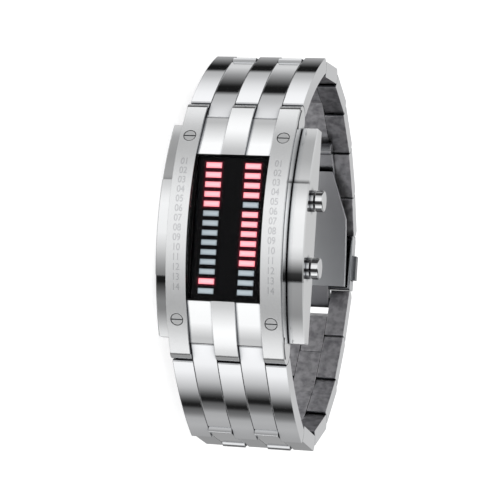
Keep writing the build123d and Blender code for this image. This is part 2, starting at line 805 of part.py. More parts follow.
for name, facing in (("left", -1), ("right", 1)):
    with BuildPart() as button:
        spans = [
            (button_inner, body_half_width - button_lip - button_slide_gap, button_shoulder),
            (body_half_width - button_lip - button_slide_gap, body_half_width + button_reach, 0.0),
        ]
        for low, high, shoulder in spans:
            low, high = sorted((facing * low, facing * high))
            with BuildSketch(Plane.XY.offset(middle + low)):
                with Locations((button_middle, button_y)):
                    Rectangle(button_length + 2 * shoulder, button_height)
            extrude(amount=high - low)
        low, high = sorted((facing * jaw_end, facing * button_inner))
        with BuildSketch(Plane.XY.offset(middle + low)):
            with Locations((button_middle + facing * jaw_offset, button_y)):
                Rectangle(2 * jaw_half, 2 * jaw_half)
        extrude(amount=high - low)
    save(button, f"clasp_button_{name}")
    with BuildPart() as spring:
        low, high = sorted((facing * pocket_end, facing * button_inner))
        x = button_middle - facing * jaw_half
        disc(x, button_y, low, button_spring_radius, high - low)
    save(spring, f"clasp_button_spring_{name}")

with BuildPart() as clasp_arm:
    for facing in (-1, 1):
        low, high = sorted((facing * arm_finger_low, facing * arm_half_width))
        band(knuckle, arm_middle, arm_end, arm_thickness, low, high)
        disc(*knuckle_place, low, knuckle_radius, high - low)
        with BuildSketch(Plane.XY.offset(middle + low)):
            with Locations((-arm_end[0] + arm_pad / 2, cover_under - arm_thickness / 2)):
                Rectangle(arm_pad, arm_thickness)
        extrude(amount=high - low)
    disc(*knuckle_place, -arm_half_width, knuckle_pin_radius, 2 * arm_half_width, Mode.SUBTRACT)
save(clasp_arm, "clasp_arm")

with BuildPart() as clasp_knuckle_pin:
    disc(*knuckle_place, -arm_half_width, knuckle_pin_radius, 2 * arm_half_width)
save(clasp_knuckle_pin, "clasp_knuckle_pin")

with BuildPart() as clasp_blade:
    band(knuckle, blade_middle, blade_end, blade_thickness, -blade_half_width, blade_half_width)
    # Only a middle finger reaches the knuckle, and the plate tapers up to it
    for facing in (-1, 1):
        with BuildSketch(Plane.XZ.offset(-cover_over)):
            with BuildLine():
                Polyline(
                    (-blade_start_along, middle + facing * blade_finger),
                    (-blade_start_along, middle + facing * blade_top_half_width),
                    (-blade_taper_along, middle + facing * blade_half_width),
                    (-blade_taper_along, middle + facing * head_half_width),
                    (-2 * knuckle[0], middle + facing * head_half_width),
                    (-2 * knuckle[0], middle + facing * blade_finger),
                    close=True,
                )
            make_face()
        extrude(amount=cover_over, mode=Mode.SUBTRACT)
    disc(*knuckle_place, -blade_finger, knuckle_radius, 2 * blade_finger)
    disc(*knuckle_place, -blade_finger, knuckle_pin_radius + pin_clearance, 2 * blade_finger, Mode.SUBTRACT)
    # Tongue and eye for the spring bar
    tongue_y = to_y(blade_end[1])
    with BuildSketch(Plane.XY.offset(middle - eye_half_width)):
        with BuildLine():
            Polyline(
                (-blade_end[0] - blade_thickness, tongue_y - blade_thickness / 2),
                (-blade_end[0], tongue_y - blade_thickness / 2),
                (eye_x + eye_radius / 2, eye_y - eye_radius * sqrt(3) / 2),
                (eye_x - eye_radius / 2, eye_y + eye_radius * sqrt(3) / 2),
                (-blade_end[0] - blade_thickness, tongue_y + blade_thickness / 2),
                close=True,
            )
        make_face()
    extrude(amount=2 * eye_half_width)
    disc(eye_x, eye_y, -eye_half_width, eye_radius, 2 * eye_half_width)
    disc(eye_x, eye_y, -eye_half_width, spring_bar_radius, 2 * eye_half_width, Mode.SUBTRACT)
save(clasp_blade, "clasp_blade")

with BuildPart() as spring_bar:
    tip = eye_half_width + spring_bar_tip
    disc(eye_x, eye_y, -tip, spring_bar_radius, 2 * tip)
save(spring_bar, "spring_bar")

with BuildPart() as catch_post:
    post_base = to_y(blade_end[1]) + blade_thickness / 2
    with BuildSketch(Plane.XY.offset(middle - post_half_width)):
        with Locations((button_middle, (post_base + post_top) / 2)):
            Rectangle(2 * post_half_length, post_top - post_base)
    extrude(amount=2 * post_half_width)
save(catch_post, "catch_post")
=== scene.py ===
import math
import bpy
from mathutils import Matrix, Vector


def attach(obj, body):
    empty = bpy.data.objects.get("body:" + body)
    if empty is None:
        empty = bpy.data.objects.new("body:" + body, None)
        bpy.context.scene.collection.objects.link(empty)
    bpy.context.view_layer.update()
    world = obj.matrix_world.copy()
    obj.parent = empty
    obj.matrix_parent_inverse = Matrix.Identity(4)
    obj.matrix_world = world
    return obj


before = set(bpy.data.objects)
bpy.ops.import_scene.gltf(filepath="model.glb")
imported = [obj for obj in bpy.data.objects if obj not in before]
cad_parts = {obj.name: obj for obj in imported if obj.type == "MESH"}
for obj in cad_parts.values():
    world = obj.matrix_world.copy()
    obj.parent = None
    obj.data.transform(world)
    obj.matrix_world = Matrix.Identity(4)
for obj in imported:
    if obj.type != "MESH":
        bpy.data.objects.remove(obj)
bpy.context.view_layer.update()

MM = 0.001
REST_DEPTH = 8.0
HALF_WIDTH = 12.9


def place(across, along, depth):
    """Point of the scene, from mm towards three o'clock, towards twelve o'clock and behind the dial."""
    return Vector((-along, depth - REST_DEPTH, across + HALF_WIDTH)) * MM


def turn_to_scene(across, along, depth):
    """Direction of the scene, from the same three directions."""
    return Vector((-along, depth, across))


VIEW_AZIMUTH = math.radians(14.471)
VIEW_ELEVATION = math.radians(-5.699)
VIEW_ROLL = math.radians(3.859)
VIEW_SHIFT = (2.953, -2.824)
VIEW_DISTANCE = 320.0
LENS_PIXELS = 1919.043
PICTURE_PIXELS = 488
SENSOR = 36.0

ca, sa = math.cos(VIEW_AZIMUTH), math.sin(VIEW_AZIMUTH)
ce, se = math.cos(VIEW_ELEVATION), math.sin(VIEW_ELEVATION)
cr, sr = math.cos(VIEW_ROLL), math.sin(VIEW_ROLL)
level_right = Vector((ca, 0, sa))
level_up = Vector((-sa * se, ce, ca * se))
back = Vector((sa * ce, se, -ca * ce))
right = cr * level_right + sr * level_up
up = -sr * level_right + cr * level_up
eye = right * VIEW_SHIFT[0] + up * VIEW_SHIFT[1] + back * VIEW_DISTANCE
camera_data = bpy.data.cameras.new("camera")
camera_data.sensor_width = SENSOR
camera_data.lens = LENS_PIXELS / PICTURE_PIXELS * SENSOR
camera_data.clip_start = 10 * MM
camera_data.clip_end = 20.0
camera = bpy.data.objects.new("camera", camera_data)
axes = [turn_to_scene(*v) for v in (right, up, back)]
camera.matrix_world = Matrix.Translation(place(*eye)) @ Matrix(axes).transposed().to_4x4()
bpy.context.collection.objects.link(camera)
bpy.context.scene.camera = camera
bpy.context.scene.view_settings.view_transform = "Standard"


# The studio: a room of pale and grey walls, with dark flags above and below the watch. Polished steel
# shows the flags as the black bands across the links, other surfaces take soft even light from it, and
# the camera sees plain white.
def linear(text):
    """Linear colour of an sRGB hex value."""
    values = [int(text[i:i + 2], 16) / 255 for i in (1, 3, 5)]
    return tuple(v / 12.92 if v <= 0.04045 else ((v + 0.055) / 1.055) ** 2.4 for v in values) + (1.0,)


def add(tree, kind, inputs=(), **settings):
    """Adds a node to a tree. settings are its properties or its inputs' values by name, and inputs are pairs
    of an input's name or number and the value, the socket or the node whose first output it takes."""
    node = tree.nodes.new(kind)
    for key, value in settings.items():
        if hasattr(node, key):
            setattr(node, key, value)
        else:
            node.inputs[key.replace("_", " ")].default_value = value
    for key, value in inputs:
        if isinstance(value, bpy.types.Node):
            value = value.outputs[0]
        if isinstance(value, bpy.types.NodeSocket):
            tree.links.new(value, node.inputs[key])
        else:
            node.inputs[key].default_value = value
    return node


def set_stops(ramp, stops):
    """Gives a colour ramp its stops, each a place from 0 to 1 and a grey or a hex colour."""
    while len(ramp.elements) > 1:
        ramp.elements.remove(ramp.elements[-1])
    for index, (spot, tone) in enumerate(stops):
        element = ramp.elements[0] if index == 0 else ramp.elements.new(spot)
        element.position = spot
        element.color = linear(tone) if isinstance(tone, str) else (tone, tone, tone, 1.0)


# Brightness round the watch in its long plane, by degrees from the camera's side: towards twelve
# o'clock is positive, and 180 is behind. To its two sides the room turns to one plain grey.
ROOM_BANDS = [
    (-180, 0.50), (-150, 0.22), (-120, 0.28), (-108, 0.42), (-104, 0.38), (-101, 0.16), (-97.5, 0.08),
    (-97, 0.01), (-95, 0.01), (-92.5, 0.12), (-87, 0.50), (-79, 0.88), (-70, 0.98), (-60, 0.72),
    (-45, 0.28), (-20, 0.55), (-6, 0.78), (25, 0.86), (38, 0.62), (52, 0.42), (66, 0.40), (83, 0.95),
    (91, 0.88), (98, 0.72), (105, 0.50), (110, 0.42), (112, 0.01), (117.5, 0.01), (122, 0.12),
    (128, 0.30), (136, 0.62), (150, 0.50),
]
SIDE_STARTS, SIDE_FULL = 0.35, 0.85
SIDE_GREY = (0.60, 0.60, 0.60, 1.0)
WHITE = (1.0, 1.0, 1.0, 1.0)
ROOM_STRENGTH = 1.2
SOFT_STRENGTH = 0.55
world = bpy.data.worlds.new("studio")
bpy.context.scene.world = world
world.use_nodes = True
world.cycles.sampling_method = "NONE"
tree = world.node_tree
tree.nodes.clear()
ray = add(tree, "ShaderNodeLightPath").outputs
where = add(tree, "ShaderNodeTexCoord")
parts = add(tree, "ShaderNodeSeparateXYZ", [("Vector", where.outputs["Generated"])]).outputs
to_twelve = add(tree, "ShaderNodeMath", [(0, parts["X"]), (1, -1.0)], operation="MULTIPLY")
to_camera = add(tree, "ShaderNodeMath", [(0, parts["Y"]), (1, -1.0)], operation="MULTIPLY")
angle = add(tree, "ShaderNodeMath", [(0, to_twelve), (1, to_camera)], operation="ARCTAN2")
share = add(tree, "ShaderNodeMapRange", [("Value", angle)], From_Min=-math.pi, From_Max=math.pi)
bands = add(tree, "ShaderNodeValToRGB", [("Fac", share)])
set_stops(bands.color_ramp, [((spot + 180) / 360, tone) for spot, tone in ROOM_BANDS])
side = add(tree, "ShaderNodeMapRange", [("Value", parts["Z"])], From_Min=SIDE_STARTS, From_Max=SIDE_FULL)
room = add(tree, "ShaderNodeMix", [("Factor", side), ("A", bands), ("B", SIDE_GREY)], data_type="RGBA")
glossy = add(tree, "ShaderNodeBackground", [("Color", room.outputs["Result"])], Strength=ROOM_STRENGTH)
soft = add(tree, "ShaderNodeBackground", Color=WHITE, Strength=SOFT_STRENGTH)
white = add(tree, "ShaderNodeBackground", Color=WHITE, Strength=1.0)
lit = add(tree, "ShaderNodeMixShader", [(0, ray["Is Glossy Ray"]), (1, soft), (2, glossy)])
seen = add(tree, "ShaderNodeMixShader", [(0, ray["Is Camera Ray"]), (1, lit), (2, white)])
add(tree, "ShaderNodeOutputWorld", [("Surface", seen)])

# Broad lamps: name, place in mm towards three o'clock, towards twelve and behind the dial, size, watts
LAMPS = [
    ("key", (60, 260, -330), 260, 0.20),
    ("fill", (330, -40, -200), 300, 0.20),
    ("low", (-40, -300, -200), 240, 0.10),
]
LAMP_AIM_DEPTH = 20
for name, spot, size, power in LAMPS:
    lamp_data = bpy.data.lights.new(name, "AREA")
    lamp_data.size = size * MM
    lamp_data.energy = power
    lamp = bpy.data.objects.new(name, lamp_data)
    lamp.location = place(*spot)
    lamp.visible_glossy = False
    aim = place(0, 0, LAMP_AIM_DEPTH) - lamp.location
    lamp.rotation_euler = aim.to_track_quat("-Z", "Y").to_euler()
    bpy.context.collection.objects.link(lamp)

# The floor: a wide white sheet under the nine o'clock side. The camera sees it plain white but for the
# watch's soft shadow, and polished steel mirrors the room and not the sheet.
FLOOR_HALF = 900 * MM
FLOOR_DROP = 0.02 * MM
PAPER_GLOW = 0.62
floor_mesh = bpy.data.meshes.new("floor")
corners = [(-1, -1), (1, -1), (1, 1), (-1, 1)]
sheet = [(x * FLOOR_HALF, y * FLOOR_HALF, -FLOOR_DROP) for x, y in corners]
floor_mesh.from_pydata(sheet, [], [(0, 1, 2, 3)])
floor = bpy.data.objects.new("floor", floor_mesh)
bpy.context.collection.objects.link(floor)
paper = bpy.data.materials.new("white_paper")
paper.use_nodes = True
tree = paper.node_tree
tree.nodes.clear()
matte = add(tree, "ShaderNodeBsdfDiffuse", Color=linear("#F4F4F4"))
glow = add(tree, "ShaderNodeEmission", Color=WHITE, Strength=PAPER_GLOW)
both = add(tree, "ShaderNodeAddShader", [(0, matte), (1, glow)])
add(tree, "ShaderNodeOutputMaterial", [("Surface", both)])
floor_mesh.materials.append(paper)
floor.visible_glossy = False
floor.visible_shadow = False


# The bracelet's bars: solid stainless steel, ground flat and mirror polished, so each face shows the room
# sharply and its rounded edges draw thin bright lines. The side to the wrist is only ground, rougher and
# blotched, and its darker grey is a painted reflection of the loop's dark inside. The pins between the bars
# are plain ground rod.
WING_HALF = 18.4
INNER_BAR_ACROSS = 4.18
INNER_BAR_HALF = 2.13
LOOP_CENTRE = (0.0, 25 * MM, 0.0)
WEARER_ROUGHNESS = 0.38
WEARER_STARTS, WEARER_FULL = 0.45, 0.6
FRONT_STARTS, FRONT_FULL = -0.5, -0.8
GRAIN_DEPTH = 0.02

# Patterns are scaled in 1/m, so 900 makes features 1.1 mm long. Real brush lines are about 0.05 mm apart,
# which is too fine to show, so they are drawn 0.17 to 0.11 mm apart (6000 to 9000). The blotches of the
# ground side are 1.25 mm wide.
POLISH_GRAIN = (900.0, 900.0, 900.0)
BLOTCH_GRAIN = 800.0


def finish_steel(name, tone, rough, edge, grain=POLISH_GRAIN, anisotropic=0.0, depth=0.0, reach=25.0,
                 tilts=None, halves=None, painted_fade=None, painted_streaks=None, wearer=None):
    """Steel of one finish. tone is its colour in the open, edge the radius in mm that its edges catch light
    on, grain the pattern's scale along X, Y and Z in 1/m, depth how deep it cuts, and reach how far off, in
    mm, a neighbour still darkens it with painted shade. tilts are the degrees that the outer and the inner
    bars' faces are ground off true, and halves those of the faces towards twelve and towards six o'clock. fade
    is painted shade and painted reflection, a tone along X, in mm, on faces to the front. streaks is a painted
    reflection, the tone round a turned part, by how far a face leans towards six o'clock, from -1 to 1. wearer
    is the two tones of the rougher, blotched side that faces the wrist, whose darker grey is a painted
    reflection of the loop's dark inside."""
    steel = bpy.data.materials.new(name)
    steel.use_nodes = True
    metal = steel.node_tree
    metal.nodes.clear()
    body = add(metal, "ShaderNodeBsdfPrincipled", Metallic=1.0, Anisotropic=anisotropic)
    spot = add(metal, "ShaderNodeTexCoord").outputs
    at = add(metal, "ShaderNodeSeparateXYZ", [("Vector", spot["Object"])]).outputs
    facing = add(metal, "ShaderNodeSeparateXYZ", [("Vector", spot["Normal"])]).outputs

    # Painted shade: corners between close pieces are darkened in the colour, where little of the room is seen
    crevice = add(metal, "ShaderNodeAmbientOcclusion", samples=8, Distance=reach * MM)
    deep = add(metal, "ShaderNodeValToRGB", [("Fac", crevice.outputs["AO"])])
    set_stops(deep.color_ramp, [(0.25, "#4A4B4E"), (0.62, "#A9ABAE"), (0.92, tone)])
    colour = deep.outputs["Color"]
    # Painted shade and painted reflection: tones along X darken the faces to the front
    if painted_fade:
        ends = {"From_Min": -WING_HALF * MM, "From_Max": WING_HALF * MM}
        span = add(metal, "ShaderNodeMapRange", [("Value", at["X"])], **ends)
        tones = add(metal, "ShaderNodeValToRGB", [("Fac", span)])
        set_stops(tones.color_ramp, [((x + WING_HALF) / (2 * WING_HALF), shade) for x, shade in painted_fade])
        to_front = {"From_Min": FRONT_STARTS, "From_Max": FRONT_FULL}
        front = add(metal, "ShaderNodeMapRange", [("Value", facing["Y"])], **to_front)
        mixed = [("Factor", front), ("A", colour), ("B", tones)]
        colour = add(metal, "ShaderNodeMix", mixed, data_type="RGBA", blend_type="MULTIPLY").outputs["Result"]
    # Painted reflection: tones round a turned part, by how far each face leans towards six o'clock
    if painted_streaks:
        lean = add(metal, "ShaderNodeMapRange", [("Value", facing["X"])], From_Min=-1.0)
        tones = add(metal, "ShaderNodeValToRGB", [("Fac", lean)])
        set_stops(tones.color_ramp, [((leaning + 1) / 2, shade) for leaning, shade in painted_streaks])
        mixed = [("Factor", 1.0), ("A", colour), ("B", tones)]
        colour = add(metal, "ShaderNodeMix", mixed, data_type="RGBA", blend_type="MULTIPLY").outputs["Result"]

    # The grain of the grinding or brushing makes the gloss uneven
    stretch = add(metal, "ShaderNodeMapping", [("Vector", spot["Object"])], Scale=grain)
    noise = add(metal, "ShaderNodeTexNoise", [("Vector", stretch)], Scale=1.0, Detail=4.0, Roughness=0.6)
    uneven = {"To_Min": rough * 0.7, "To_Max": rough * 1.3}
    gloss = add(metal, "ShaderNodeMapRange", [("Value", noise.outputs["Fac"])], **uneven).outputs["Result"]
    # The wrist side: ground, rougher and blotched, and its darker grey is a painted reflection of the loop's
    # dark inside
    if wearer:
        from_point = [(0, LOOP_CENTRE), (1, spot["Object"])]
        inwards = add(metal, "ShaderNodeVectorMath", from_point, operation="SUBTRACT")
        level = add(metal, "ShaderNodeVectorMath", [(0, inwards), (1, (1.0, 1.0, 0.0))], operation="MULTIPLY")
        towards = add(metal, "ShaderNodeVectorMath", [(0, level)], operation="NORMALIZE")
        both_ways = [(0, towards), (1, spot["Normal"])]
        turned_in = add(metal, "ShaderNodeVectorMath", both_ways, operation="DOT_PRODUCT").outputs["Value"]
        to_wrist = {"From_Min": WEARER_STARTS, "From_Max": WEARER_FULL}
        inside = add(metal, "ShaderNodeMapRange", [("Value", turned_in)], **to_wrist)
        blotch = add(metal, "ShaderNodeTexNoise", [("Vector", spot["Object"])], Scale=BLOTCH_GRAIN, Detail=5.0)
        patches = add(metal, "ShaderNodeValToRGB", [("Fac", blotch.outputs["Fac"])])
        set_stops(patches.color_ramp, [(0.35, wearer[0]), (0.62, wearer[1])])
        mixed = [("Factor", inside), ("A", colour), ("B", patches)]
        colour = add(metal, "ShaderNodeMix", mixed, data_type="RGBA").outputs["Result"]
        duller = [("Factor", inside), ("A", gloss), ("B", WEARER_ROUGHNESS)]
        gloss = add(metal, "ShaderNodeMix", duller, data_type="FLOAT").outputs["Result"]
    metal.links.new(colour, body.inputs["Base Color"])
    metal.links.new(gloss, body.inputs["Roughness"])

    # Rounded edges catch the light, and a face ground off true mirrors another part of the room
    face = add(metal, "ShaderNodeBevel", samples=6, Radius=edge * MM)
    if tilts:
        across = add(metal, "ShaderNodeMath", [(0, at["Z"]), (1, HALF_WIDTH * MM)], operation="SUBTRACT")
        apart = add(metal, "ShaderNodeMath", [(0, across)], operation="ABSOLUTE")
        column = [(0, apart), (1, INNER_BAR_ACROSS * MM), (2, INNER_BAR_HALF * MM)]
        inner = add(metal, "ShaderNodeMath", column, operation="COMPARE")
        low, high = (math.radians(tilt) for tilt in tilts)
        lean = add(metal, "ShaderNodeMapRange", [("Value", inner)], To_Min=low, To_Max=high)
        face = add(metal, "ShaderNodeVectorRotate", [("Vector", face), ("Angle", lean)])
    if halves:
        low, high = (math.radians(tilt) for tilt in halves)
        ends = {"From_Min": -MM, "From_Max": MM, "To_Min": low, "To_Max": high}
        lean = add(metal, "ShaderNodeMapRange", [("Value", at["X"])], **ends)
        face = add(metal, "ShaderNodeVectorRotate", [("Vector", face), ("Angle", lean)])
    if depth:
        cuts = [("Height", noise.outputs["Fac"]), ("Normal", face)]
        face = add(metal, "ShaderNodeBump", cuts, Strength=depth, Distance=GRAIN_DEPTH * MM)
    metal.links.new(face.outputs[0], body.inputs["Normal"])
    add(metal, "ShaderNodeOutputMaterial", [("Surface", body)])
    return steel


def dress(material, names):
    """Gives CAD nodes a material."""
    for name in names:
        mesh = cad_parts[name].data
        mesh.materials.clear()
        mesh.materials.append(material)


node_names = sorted(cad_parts)
for half, tilts in (("12", (5.0, -5.5)), ("6", (-2.7, -0.7))):
    polished = finish_steel(f"mirror_polished_steel_{half}", "#ECEDEF", 0.045, 0.18, tilts=tilts,
                            wearer=("#949397", "#C2C1C4"))
    dress(polished, [n for n in node_names if n.startswith(f"link_{half}_") and n.endswith("_bars")])
dress(finish_steel("ground_steel_pin", "#B9BBBD", 0.25, 0.05), [n for n in node_names if n.endswith("_pins")])

# The rails: thin arched plates, brushed along their length, which spreads the light in a soft streak.
# Each is held by a polished slotted screw at both ends, and the case back by four more.
RAIL_GRAIN = (500.0, 6000.0, 6000.0)
brushed = finish_steel("brushed_steel_rail", "#EDEEEF", 0.24, 0.15, RAIL_GRAIN, 0.5, 0.35, reach=2.0)
dress(brushed, ["rail_left", "rail_right"])
screw_steel = finish_steel("polished_steel_screw", "#EDEEEF", 0.12, 0.08, reach=1.0)
dress(screw_steel, ["rail_screws", "case_back_screws"])

# The row numbers: fine figures from 01 to 14 cut beside each bar of light, up both rails, and left
# bright and bare. They are thin plates that stand a hair proud of the arched rails.
NUMBER_ROWS = {"left": -8.17, "right": 8.17}
NUMBER_COUNT = 14
NUMBER_SIZES = {
    "Across": 0.0, "Middle": HALF_WIDTH * MM, "Pitch": 1.642 * MM, "Shift": 0.3 * MM, "Size": 1.7 * MM,
    "Narrow": 0.82, "Arch Radius": 35.0 * MM, "Arch Crown": (-1.3 - REST_DEPTH) * MM, "Proud": 0.012 * MM,
}

# Each turn of the loop writes one number flat, stands it at its place up the rail and bends it to the arch
rows = bpy.data.node_groups.new("figures_up_the_arch", "GeometryNodeTree")
rows.interface.new_socket("Geometry", in_out="OUTPUT", socket_type="NodeSocketGeometry")
row_inputs = {}
for label, value in NUMBER_SIZES.items():
    row_inputs[label] = rows.interface.new_socket(label, in_out="INPUT", socket_type="NodeSocketFloat")
    row_inputs[label].default_value = value
steel_input = rows.interface.new_socket("Material", in_out="INPUT", socket_type="NodeSocketMaterial")
given = add(rows, "NodeGroupInput").outputs
first = add(rows, "GeometryNodeRepeatInput")
last = add(rows, "GeometryNodeRepeatOutput")
first.pair_with_output(last)
first.inputs["Iterations"].default_value = NUMBER_COUNT
row = first.outputs["Iteration"]
over_hundred = add(rows, "ShaderNodeMath", [(0, row), (1, 101.0)], operation="ADD")
counted = add(rows, "FunctionNodeValueToString", [("Value", over_hundred)])
two_figures = add(rows, "FunctionNodeSliceString", [("String", counted)], Position=1, Length=2)
lettering = [("String", two_figures), ("Size", given["Size"])]
written = add(rows, "GeometryNodeStringToCurves", lettering, align_x="CENTER", align_y="MIDDLE")
loose = add(rows, "GeometryNodeRealizeInstances", [("Geometry", written.outputs["Curve Instances"])])
plate = add(rows, "GeometryNodeFillCurve", [("Curve", loose)])
flat = add(rows, "ShaderNodeSeparateXYZ", [("Vector", add(rows, "GeometryNodeInputPosition"))]).outputs
steps = add(rows, "ShaderNodeMath", [(0, (NUMBER_COUNT - 1) / 2), (1, row)], operation="SUBTRACT")
placed = [(0, steps), (1, given["Pitch"]), (2, given["Shift"])]
along = add(rows, "ShaderNodeMath", placed, operation="MULTIPLY_ADD")
bow = add(rows, "ShaderNodeMath", [(0, along), (1, given["Arch Radius"])], operation="DIVIDE")
lean = add(rows, "ShaderNodeMath", [(0, bow)], operation="ARCSINE")
rise = add(rows, "ShaderNodeMath", [(0, flat["Y"]), (1, given["Arch Radius"])], operation="DIVIDE")
arc = add(rows, "ShaderNodeMath", [(0, lean), (1, rise)], operation="ADD")
height = add(rows, "ShaderNodeMath", [(0, given["Arch Radius"]), (1, given["Proud"])], operation="ADD")
sine = add(rows, "ShaderNodeMath", [(0, arc)], operation="SINE")
cosine = add(rows, "ShaderNodeMath", [(0, arc)], operation="COSINE")
to_twelve = add(rows, "ShaderNodeMath", [(0, height), (1, sine)], operation="MULTIPLY")
to_six = add(rows, "ShaderNodeMath", [(0, to_twelve), (1, -1.0)], operation="MULTIPLY")
centre = add(rows, "ShaderNodeMath", [(0, given["Arch Crown"]), (1, given["Arch Radius"])], operation="ADD")
to_face = add(rows, "ShaderNodeMath", [(0, height), (1, cosine)], operation="MULTIPLY")
depth = add(rows, "ShaderNodeMath", [(0, centre), (1, to_face)], operation="SUBTRACT")
narrowed = [(0, flat["X"]), (1, given["Narrow"]), (2, given["Across"])]
across = add(rows, "ShaderNodeMath", narrowed, operation="MULTIPLY_ADD")
up_side = add(rows, "ShaderNodeMath", [(0, across), (1, given["Middle"])], operation="ADD")
spot = add(rows, "ShaderNodeCombineXYZ", [("X", to_six), ("Y", depth), ("Z", up_side)])
bent = add(rows, "GeometryNodeSetPosition", [("Geometry", plate), ("Position", spot)])
gathered = add(rows, "GeometryNodeJoinGeometry", [("Geometry", first.outputs["Geometry"])])
rows.links.new(bent.outputs[0], gathered.inputs["Geometry"])
rows.links.new(gathered.outputs[0], last.inputs["Geometry"])
whole = add(rows, "GeometryNodeRealizeInstances", [("Geometry", last.outputs["Geometry"])])
finished = add(rows, "GeometryNodeSetMaterial", [("Geometry", whole), ("Material", given["Material"])])
add(rows, "NodeGroupOutput", [("Geometry", finished)])

engraved = finish_steel("engraved_steel_figures", "#D0D1D3", 0.3, 0.02, reach=1.0)
for side_name, row_across in NUMBER_ROWS.items():
    maker = bpy.data.objects.new("figure_maker", bpy.data.meshes.new("figure_maker"))
    bpy.context.collection.objects.link(maker)
    modifier = maker.modifiers.new("figures", "NODES")
    modifier.node_group = rows
    modifier[row_inputs["Across"].identifier] = row_across * MM
    modifier[steel_input.identifier] = engraved
    bpy.context.view_layer.update()
    made = bpy.data.meshes.new_from_object(maker.evaluated_get(bpy.context.evaluated_depsgraph_get()))
    bpy.data.objects.remove(maker)
    made.materials.pop(index=0)
    numbers = bpy.data.objects.new(f"row_numbers_{side_name}", made)
    bpy.context.collection.objects.link(numbers)
    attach(numbers, "head")

# The case body and the middle bars: machined steel in one satin finish, whose fine lengthwise grain blurs the
# room. A painted shade darkens the body's front towards its two ends, beside the links.
CASE_PAINTED_SHADE = [(-18.4, 0.5), (-16.5, 0.75), (-14.5, 1.0), (12.5, 1.0), (16.0, 0.95), (17.4, 0.7), (18.4, 0.55)]
CASE_GRAIN = (900.0, 4000.0, 9000.0)
satin = finish_steel("satin_steel_case_painted_shade", "#F4F5F6", 0.14, 0.12, CASE_GRAIN, 0.2, 0.1, painted_fade=CASE_PAINTED_SHADE,
                     halves=(-9.0, 7.0), reach=0.6)
dress(satin, ["case_middle"])
bar_steel = finish_steel("satin_steel_middle_bar", "#F2F3F4", 0.12, 0.12, CASE_GRAIN, 0.2, 0.1,
                         halves=(-8.0, 7.0), reach=1.0)
dress(bar_steel, ["centre_bar_12", "centre_bar_6"])

# The wings: thick side plates in three facets beside the body, polished on the front edge. A painted
# reflection of the room's dark side darkens each towards its lower break and ends sharply there.
LEFT_PAINTED_REFLECTION = [
    (-18.4, 0.9), (-9.0, 0.55), (-8.3, 0.5), (-8.1, 0.8), (-4.0, 1.0), (1.0, 1.0), (4.5, 0.7), (8.2, 0.35),
    (8.4, 0.02), (9.3, 0.02), (10.5, 0.2), (12.5, 0.6), (18.4, 1.0),
]
RIGHT_PAINTED_REFLECTION = [
    (-18.4, 0.9), (-9.0, 0.9), (-8.4, 0.2), (-8.15, 0.75), (-3.5, 1.0), (2.5, 1.0), (4.5, 0.8), (5.7, 0.45),
    (7.0, 0.06), (8.25, 0.02), (8.45, 0.6), (18.4, 1.0),
]
# Painted reflection: dark tones along each wing's front
for name, painted_fade in (("wing_left", LEFT_PAINTED_REFLECTION), ("wing_right", RIGHT_PAINTED_REFLECTION)):
    dress(finish_steel(f"polished_steel_{name}", "#F2F3F4", 0.12, 0.15, painted_fade=painted_fade, reach=0.8), [name])

# The case back: a flat steel cover with rounded corners on the wrist side, held by its four screws.
# It is brushed along its length, which leaves it duller and greyer than the case.
BACK_GRAIN = (900.0, 9000.0, 4000.0)
dress(finish_steel("brushed_steel_back", "#C8CACC", 0.35, 0.2, BACK_GRAIN, 0.3, 0.2), ["case_back"])


# The display: a clear mineral crystal in a dull black rubber gasket, over a gloss black mask that the
# light bars look out of. A coating makes the crystal mirror little, so its Fresnel term is far weaker
# than that of bare glass.
CRYSTAL_IOR = 1.08
# A moulding's gloss changes over about 0.4 mm
MOULDED_GRAIN = 2500.0


def plain(name, tone, rough, metallic=0.0, shine=0.5, glow="#000000", power=0.0):
    """Moulded or coated surface with a fine uneven gloss, which may glow in one tone."""
    made = bpy.data.materials.new(name)
    made.use_nodes = True
    coat = made.node_tree
    coat.nodes.clear()
    spot = add(coat, "ShaderNodeTexCoord")
    pattern = [("Vector", spot.outputs["Object"])]
    noise = add(coat, "ShaderNodeTexNoise", pattern, Scale=MOULDED_GRAIN, Detail=3.0)
    uneven = {"To_Min": rough * 0.8, "To_Max": rough * 1.2}
    gloss = add(coat, "ShaderNodeMapRange", [("Value", noise.outputs["Fac"])], **uneven)
    surface = [("Base Color", linear(tone)), ("Metallic", metallic), ("Roughness", gloss)]
    surface.append(("Specular IOR Level", shine))
    if power:
        surface += [("Emission Color", linear(glow)), ("Emission Strength", power)]
    body = add(coat, "ShaderNodeBsdfPrincipled", surface)
    add(coat, "ShaderNodeOutputMaterial", [("Surface", body)])
    return made


crystal_glass = bpy.data.materials.new("coated_mineral_glass")
crystal_glass.use_nodes = True
tree = crystal_glass.node_tree
tree.nodes.clear()
clear = add(tree, "ShaderNodeBsdfTransparent", Color=linear("#FCFCFC"))
shine = add(tree, "ShaderNodeBsdfGlossy", Color=WHITE, Roughness=0.02)
fresnel = add(tree, "ShaderNodeFresnel", IOR=CRYSTAL_IOR)
pane = add(tree, "ShaderNodeMixShader", [(0, fresnel), (1, clear), (2, shine)])
add(tree, "ShaderNodeOutputMaterial", [("Surface", pane)])
dress(crystal_glass, ["crystal"])
dress(plain("black_gasket", "#060606", 0.5, shine=0.1), ["crystal_gasket"])

# The light bars: moulded diffusers with a lamp behind each, palest in the middle and deeper towards the edges.
# The unlit ones glow faintly too, which is a painted glow. The lit ones throw a faint red on the black mask
# round them.
BAR_PITCH = 1.642 * MM
BAR_ACROSS = 3.4 * MM
BAR_HALF_HEIGHT = 0.46 * MM
BAR_HALF_WIDTH = 1.35 * MM
HALO_REACH = 0.42 * MM
BAR_ROWS = NUMBER_COUNT
LIT_ROWS = {
    "left": [(0, 0), (0.05, 1), (5, 0), (12, 1), (13, 0)],
    "right": [(0, 0), (0.05, 1), (4, 0), (5, 1), (11, 0)],
}


